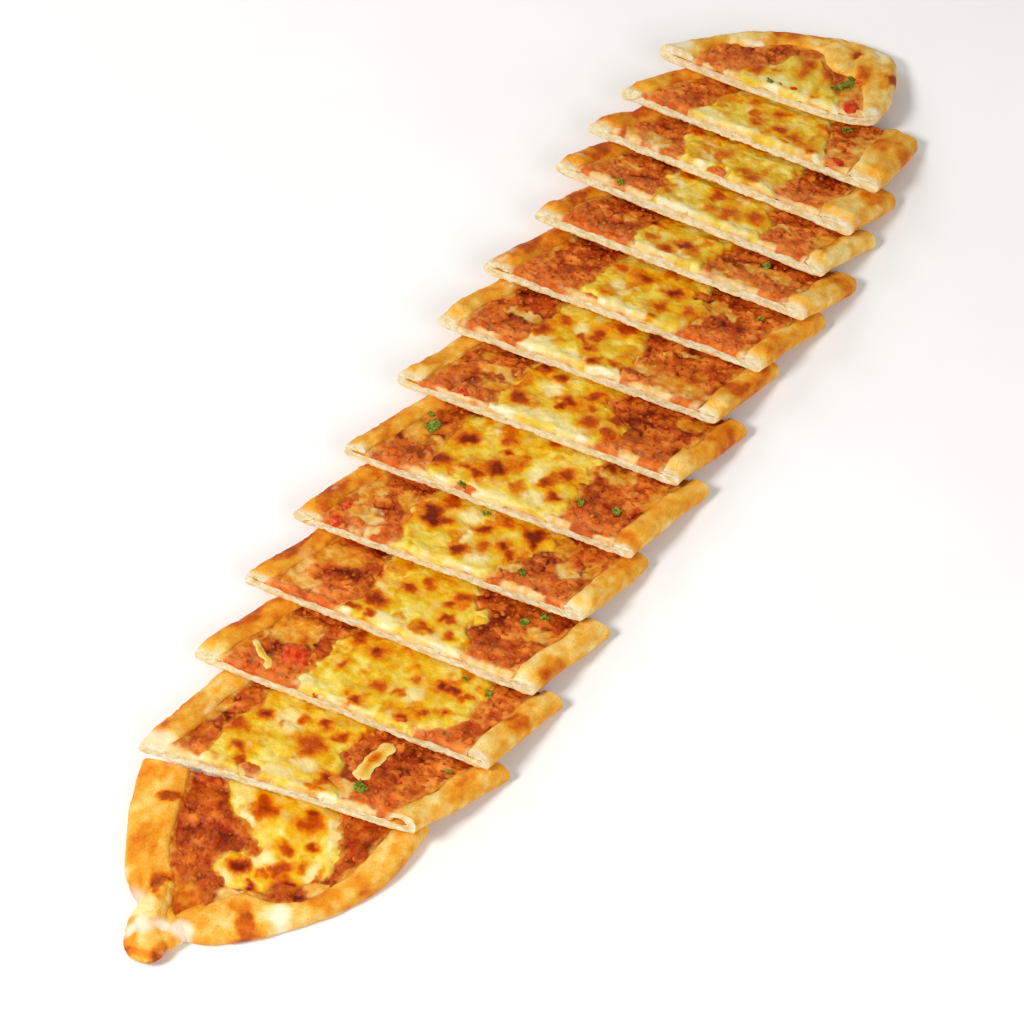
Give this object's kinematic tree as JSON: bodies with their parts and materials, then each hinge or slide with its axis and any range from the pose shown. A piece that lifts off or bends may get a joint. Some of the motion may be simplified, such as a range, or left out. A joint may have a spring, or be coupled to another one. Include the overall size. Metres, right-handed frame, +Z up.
{
  "type": "turkish pide",
  "caption": "Long boat-shaped flatbread with folded rims, minced meat and melted cheese, cut across into slices that lean on one another in a row.",
  "frame": {"origin": "on the surface it lies on, under the middle of the whole row of slices", "axes": "+X along the row, from the knotted end to the other end; +Y across the row, to the left seen from the knotted end; +Z up"},
  "size_m": [0.62, 0.1578, 0.0248],
  "materials": {
    "dough": "baked bread crust, golden with browner patches, dry and matt, with a pale porous crumb at the cuts",
    "filling": "cooked minced meat with tomato and herbs, moist and grainy",
    "cheese": "melted cheese, soft sheen, with roasted brown blisters"
  },
  "bodies": {
    "root": {"dough_01": "dough", "dough_02": "dough", "dough_03": "dough", "dough_04": "dough", "dough_05": "dough", "dough_06": "dough", "dough_07": "dough", "dough_08": "dough", "dough_09": "dough", "dough_10": "dough", "dough_11": "dough", "dough_12": "dough", "dough_13": "dough", "dough_14": "dough", "filling_01": "filling", "filling_02": "filling", "filling_03": "filling", "filling_04": "filling", "filling_05": "filling", "filling_06": "filling", "filling_07": "filling", "filling_08": "filling", "filling_09": "filling", "filling_10": "filling", "filling_11": "filling", "filling_12": "filling", "filling_13": "filling", "filling_14": "filling", "cheese_01": "cheese", "cheese_02": "cheese", "cheese_03": "cheese", "cheese_04": "cheese", "cheese_05": "cheese", "cheese_06": "cheese", "cheese_07": "cheese", "cheese_08": "cheese", "cheese_09": "cheese", "cheese_10": "cheese", "cheese_11": "cheese", "cheese_12": "cheese", "cheese_13": "cheese", "cheese_14": "cheese"}
  },
  "joints": []
}
